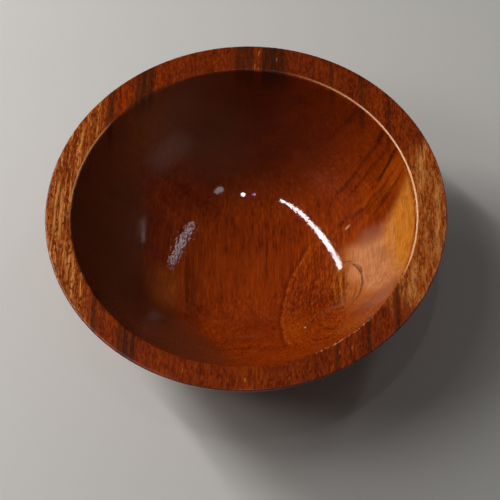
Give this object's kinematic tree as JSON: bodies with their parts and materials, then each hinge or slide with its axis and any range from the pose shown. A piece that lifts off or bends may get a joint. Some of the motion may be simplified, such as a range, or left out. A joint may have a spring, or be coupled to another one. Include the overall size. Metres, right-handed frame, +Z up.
{
  "type": "wooden bowl",
  "caption": "Small round turned wooden bowl with a flat rim, a smooth rounded hollow and a flat foot, in clear gloss varnish, for holding food or small things.",
  "frame": {"origin": "centre of the flat foot, on the surface that the bowl stands on", "axes": "+Z up along the axis of the turned outside, +Y along the fibres of the wood, +X across them"},
  "size_m": [0.1246, 0.1246, 0.045],
  "materials": {
    "varnished_wood": "clear gloss varnish over reddish-brown wood with straight grain"
  },
  "bodies": {
    "root": {"turned_bowl": "varnished_wood"}
  },
  "joints": []
}
